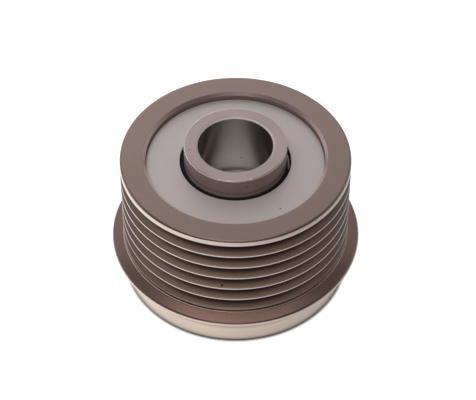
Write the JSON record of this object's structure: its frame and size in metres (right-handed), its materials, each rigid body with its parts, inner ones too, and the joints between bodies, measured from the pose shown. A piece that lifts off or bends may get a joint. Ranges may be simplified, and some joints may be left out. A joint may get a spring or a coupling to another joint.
{
  "type": "overrunning alternator pulley",
  "caption": "Ribbed alternator belt pulley with a flange and collar, whose hub turns on ball bearings inside it through a one-way roller clutch.",
  "frame": {"origin": "on the axis, at the end face of the front collar that the pulley stands on", "axes": "+Z along the axis towards the alternator side, where the hub stands proud; +X and +Y are square to it"},
  "size_m": [0.058, 0.058, 0.0375],
  "materials": {
    "browned_steel": "fine turned, warm grey",
    "ground_steel": "ground, satin",
    "zinc_plate": "satin plated sheet",
    "bearing_steel": "ground",
    "polished_steel": "polished",
    "spring_steel": "bright strip",
    "black_rubber": "moulded, matt",
    "cage_polymer": "moulded, glass-filled"
  },
  "bodies": {
    "pulley": {"pulley_ring": "browned_steel", "seal_plate": "zinc_plate", "seal_lip": "black_rubber", "snap_ring": "spring_steel", "clutch_cam_ring": "bearing_steel", "clutch_cage": "cage_polymer", "front_bearing_outer_ring": "bearing_steel", "front_bearing_shield": "black_rubber", "rear_bearing_outer_ring": "bearing_steel", "rear_bearing_shield": "black_rubber", "clutch_spring_1": "spring_steel", "clutch_spring_2": "spring_steel", "clutch_spring_3": "spring_steel", "clutch_spring_4": "spring_steel", "clutch_spring_5": "spring_steel", "clutch_spring_6": "spring_steel", "clutch_spring_7": "spring_steel", "clutch_spring_8": "spring_steel"},
    "hub": {"hub": "ground_steel", "front_bearing_inner_ring": "bearing_steel", "rear_bearing_inner_ring": "bearing_steel"},
    "front_ball_cage": {"front_bearing_cage": "cage_polymer"},
    "front_ball_01": {"front_ball_01": "polished_steel"},
    "front_ball_02": {"front_ball_02": "polished_steel"},
    "front_ball_03": {"front_ball_03": "polished_steel"},
    "front_ball_04": {"front_ball_04": "polished_steel"},
    "front_ball_05": {"front_ball_05": "polished_steel"},
    "front_ball_06": {"front_ball_06": "polished_steel"},
    "front_ball_07": {"front_ball_07": "polished_steel"},
    "front_ball_08": {"front_ball_08": "polished_steel"},
    "front_ball_09": {"front_ball_09": "polished_steel"},
    "front_ball_10": {"front_ball_10": "polished_steel"},
    "front_ball_11": {"front_ball_11": "polished_steel"},
    "rear_ball_cage": {"rear_bearing_cage": "cage_polymer"},
    "rear_ball_01": {"rear_ball_01": "polished_steel"},
    "rear_ball_02": {"rear_ball_02": "polished_steel"},
    "rear_ball_03": {"rear_ball_03": "polished_steel"},
    "rear_ball_04": {"rear_ball_04": "polished_steel"},
    "rear_ball_05": {"rear_ball_05": "polished_steel"},
    "rear_ball_06": {"rear_ball_06": "polished_steel"},
    "rear_ball_07": {"rear_ball_07": "polished_steel"},
    "rear_ball_08": {"rear_ball_08": "polished_steel"},
    "rear_ball_09": {"rear_ball_09": "polished_steel"},
    "rear_ball_10": {"rear_ball_10": "polished_steel"},
    "rear_ball_11": {"rear_ball_11": "polished_steel"},
    "clutch_roller_1": {"clutch_roller_1": "polished_steel"},
    "clutch_roller_2": {"clutch_roller_2": "polished_steel"},
    "clutch_roller_3": {"clutch_roller_3": "polished_steel"},
    "clutch_roller_4": {"clutch_roller_4": "polished_steel"},
    "clutch_roller_5": {"clutch_roller_5": "polished_steel"},
    "clutch_roller_6": {"clutch_roller_6": "polished_steel"},
    "clutch_roller_7": {"clutch_roller_7": "polished_steel"},
    "clutch_roller_8": {"clutch_roller_8": "polished_steel"}
  },
  "joints": [
    {"name": "hub_spin", "type": "hinge", "parent": "pulley", "child": "hub", "pos_m": [0, 0, 0.0209], "axis": [0, 0, 1], "continuous": true},
    {"name": "front_cage_spin", "type": "hinge", "parent": "pulley", "child": "front_ball_cage", "pos_m": [0, 0, 0.0094], "axis": [0, 0, 1], "continuous": true},
    {"name": "front_ball_01_spin", "type": "hinge", "parent": "front_ball_cage", "child": "front_ball_01", "pos_m": [0.01425, 0, 0.0094], "axis": [0, 0, 1], "continuous": true},
    {"name": "front_ball_02_spin", "type": "hinge", "parent": "front_ball_cage", "child": "front_ball_02", "pos_m": [0.01199, -0.0077, 0.0094], "axis": [0, 0, 1], "continuous": true},
    {"name": "front_ball_03_spin", "type": "hinge", "parent": "front_ball_cage", "child": "front_ball_03", "pos_m": [0.00592, -0.01296, 0.0094], "axis": [0, 0, 1], "continuous": true},
    {"name": "front_ball_04_spin", "type": "hinge", "parent": "front_ball_cage", "child": "front_ball_04", "pos_m": [-0.00203, -0.0141, 0.0094], "axis": [0, 0, 1], "continuous": true},
    {"name": "front_ball_05_spin", "type": "hinge", "parent": "front_ball_cage", "child": "front_ball_05", "pos_m": [-0.00933, -0.01077, 0.0094], "axis": [0, 0, 1], "continuous": true},
    {"name": "front_ball_06_spin", "type": "hinge", "parent": "front_ball_cage", "child": "front_ball_06", "pos_m": [-0.01367, -0.00401, 0.0094], "axis": [0, 0, 1], "continuous": true},
    {"name": "front_ball_07_spin", "type": "hinge", "parent": "front_ball_cage", "child": "front_ball_07", "pos_m": [-0.01367, 0.00401, 0.0094], "axis": [0, 0, 1], "continuous": true},
    {"name": "front_ball_08_spin", "type": "hinge", "parent": "front_ball_cage", "child": "front_ball_08", "pos_m": [-0.00933, 0.01077, 0.0094], "axis": [0, 0, 1], "continuous": true},
    {"name": "front_ball_09_spin", "type": "hinge", "parent": "front_ball_cage", "child": "front_ball_09", "pos_m": [-0.00203, 0.0141, 0.0094], "axis": [0, 0, 1], "continuous": true},
    {"name": "front_ball_10_spin", "type": "hinge", "parent": "front_ball_cage", "child": "front_ball_10", "pos_m": [0.00592, 0.01296, 0.0094], "axis": [0, 0, 1], "continuous": true},
    {"name": "front_ball_11_spin", "type": "hinge", "parent": "front_ball_cage", "child": "front_ball_11", "pos_m": [0.01199, 0.0077, 0.0094], "axis": [0, 0, 1], "continuous": true},
    {"name": "rear_cage_spin", "type": "hinge", "parent": "pulley", "child": "rear_ball_cage", "pos_m": [0, 0, 0.0254], "axis": [0, 0, 1], "continuous": true},
    {"name": "rear_ball_01_spin", "type": "hinge", "parent": "rear_ball_cage", "child": "rear_ball_01", "pos_m": [0.01425, 0, 0.0254], "axis": [0, 0, 1], "continuous": true},
    {"name": "rear_ball_02_spin", "type": "hinge", "parent": "rear_ball_cage", "child": "rear_ball_02", "pos_m": [0.01199, 0.0077, 0.0254], "axis": [0, 0, 1], "continuous": true},
    {"name": "rear_ball_03_spin", "type": "hinge", "parent": "rear_ball_cage", "child": "rear_ball_03", "pos_m": [0.00592, 0.01296, 0.0254], "axis": [0, 0, 1], "continuous": true},
    {"name": "rear_ball_04_spin", "type": "hinge", "parent": "rear_ball_cage", "child": "rear_ball_04", "pos_m": [-0.00203, 0.0141, 0.0254], "axis": [0, 0, 1], "continuous": true},
    {"name": "rear_ball_05_spin", "type": "hinge", "parent": "rear_ball_cage", "child": "rear_ball_05", "pos_m": [-0.00933, 0.01077, 0.0254], "axis": [0, 0, 1], "continuous": true},
    {"name": "rear_ball_06_spin", "type": "hinge", "parent": "rear_ball_cage", "child": "rear_ball_06", "pos_m": [-0.01367, 0.00401, 0.0254], "axis": [0, 0, 1], "continuous": true},
    {"name": "rear_ball_07_spin", "type": "hinge", "parent": "rear_ball_cage", "child": "rear_ball_07", "pos_m": [-0.01367, -0.00401, 0.0254], "axis": [0, 0, 1], "continuous": true},
    {"name": "rear_ball_08_spin", "type": "hinge", "parent": "rear_ball_cage", "child": "rear_ball_08", "pos_m": [-0.00933, -0.01077, 0.0254], "axis": [0, 0, 1], "continuous": true},
    {"name": "rear_ball_09_spin", "type": "hinge", "parent": "rear_ball_cage", "child": "rear_ball_09", "pos_m": [-0.00203, -0.0141, 0.0254], "axis": [0, 0, 1], "continuous": true},
    {"name": "rear_ball_10_spin", "type": "hinge", "parent": "rear_ball_cage", "child": "rear_ball_10", "pos_m": [0.00592, -0.01296, 0.0254], "axis": [0, 0, 1], "continuous": true},
    {"name": "rear_ball_11_spin", "type": "hinge", "parent": "rear_ball_cage", "child": "rear_ball_11", "pos_m": [0.01199, -0.0077, 0.0254], "axis": [0, 0, 1], "continuous": true},
    {"name": "clutch_roller_1_spin", "type": "hinge", "parent": "pulley", "child": "clutch_roller_1", "pos_m": [0.01252, 0, 0.0174], "axis": [0, 0, 1], "continuous": true},
    {"name": "clutch_roller_2_spin", "type": "hinge", "parent": "pulley", "child": "clutch_roller_2", "pos_m": [0.00885, 0.00885, 0.0174], "axis": [0, 0, 1], "continuous": true},
    {"name": "clutch_roller_3_spin", "type": "hinge", "parent": "pulley", "child": "clutch_roller_3", "pos_m": [0, 0.01252, 0.0174], "axis": [0, 0, 1], "continuous": true},
    {"name": "clutch_roller_4_spin", "type": "hinge", "parent": "pulley", "child": "clutch_roller_4", "pos_m": [-0.00885, 0.00885, 0.0174], "axis": [0, 0, 1], "continuous": true},
    {"name": "clutch_roller_5_spin", "type": "hinge", "parent": "pulley", "child": "clutch_roller_5", "pos_m": [-0.01252, 0, 0.0174], "axis": [0, 0, 1], "continuous": true},
    {"name": "clutch_roller_6_spin", "type": "hinge", "parent": "pulley", "child": "clutch_roller_6", "pos_m": [-0.00885, -0.00885, 0.0174], "axis": [0, 0, 1], "continuous": true},
    {"name": "clutch_roller_7_spin", "type": "hinge", "parent": "pulley", "child": "clutch_roller_7", "pos_m": [0, -0.01252, 0.0174], "axis": [0, 0, 1], "continuous": true},
    {"name": "clutch_roller_8_spin", "type": "hinge", "parent": "pulley", "child": "clutch_roller_8", "pos_m": [0.00885, -0.00885, 0.0174], "axis": [0, 0, 1], "continuous": true}
  ],
  "couplings": [
    {"joint": "front_cage_spin", "follows": "hub_spin", "ratio": 0.41649},
    {"joint": "front_ball_01_spin", "follows": "hub_spin", "ratio": -2.9102},
    {"joint": "front_ball_02_spin", "follows": "hub_spin", "ratio": -2.9102},
    {"joint": "front_ball_03_spin", "follows": "hub_spin", "ratio": -2.9102},
    {"joint": "front_ball_04_spin", "follows": "hub_spin", "ratio": -2.9102},
    {"joint": "front_ball_05_spin", "follows": "hub_spin", "ratio": -2.9102},
    {"joint": "front_ball_06_spin", "follows": "hub_spin", "ratio": -2.9102},
    {"joint": "front_ball_07_spin", "follows": "hub_spin", "ratio": -2.9102},
    {"joint": "front_ball_08_spin", "follows": "hub_spin", "ratio": -2.9102},
    {"joint": "front_ball_09_spin", "follows": "hub_spin", "ratio": -2.9102},
    {"joint": "front_ball_10_spin", "follows": "hub_spin", "ratio": -2.9102},
    {"joint": "front_ball_11_spin", "follows": "hub_spin", "ratio": -2.9102},
    {"joint": "rear_cage_spin", "follows": "hub_spin", "ratio": 0.41649},
    {"joint": "rear_ball_01_spin", "follows": "hub_spin", "ratio": -2.9102},
    {"joint": "rear_ball_02_spin", "follows": "hub_spin", "ratio": -2.9102},
    {"joint": "rear_ball_03_spin", "follows": "hub_spin", "ratio": -2.9102},
    {"joint": "rear_ball_04_spin", "follows": "hub_spin", "ratio": -2.9102},
    {"joint": "rear_ball_05_spin", "follows": "hub_spin", "ratio": -2.9102},
    {"joint": "rear_ball_06_spin", "follows": "hub_spin", "ratio": -2.9102},
    {"joint": "rear_ball_07_spin", "follows": "hub_spin", "ratio": -2.9102},
    {"joint": "rear_ball_08_spin", "follows": "hub_spin", "ratio": -2.9102},
    {"joint": "rear_ball_09_spin", "follows": "hub_spin", "ratio": -2.9102},
    {"joint": "rear_ball_10_spin", "follows": "hub_spin", "ratio": -2.9102},
    {"joint": "rear_ball_11_spin", "follows": "hub_spin", "ratio": -2.9102},
    {"joint": "clutch_roller_1_spin", "follows": "hub_spin", "ratio": -4.0016},
    {"joint": "clutch_roller_2_spin", "follows": "hub_spin", "ratio": -4.0016},
    {"joint": "clutch_roller_3_spin", "follows": "hub_spin", "ratio": -4.0016},
    {"joint": "clutch_roller_4_spin", "follows": "hub_spin", "ratio": -4.0016},
    {"joint": "clutch_roller_5_spin", "follows": "hub_spin", "ratio": -4.0016},
    {"joint": "clutch_roller_6_spin", "follows": "hub_spin", "ratio": -4.0016},
    {"joint": "clutch_roller_7_spin", "follows": "hub_spin", "ratio": -4.0016},
    {"joint": "clutch_roller_8_spin", "follows": "hub_spin", "ratio": -4.0016}
  ]
}
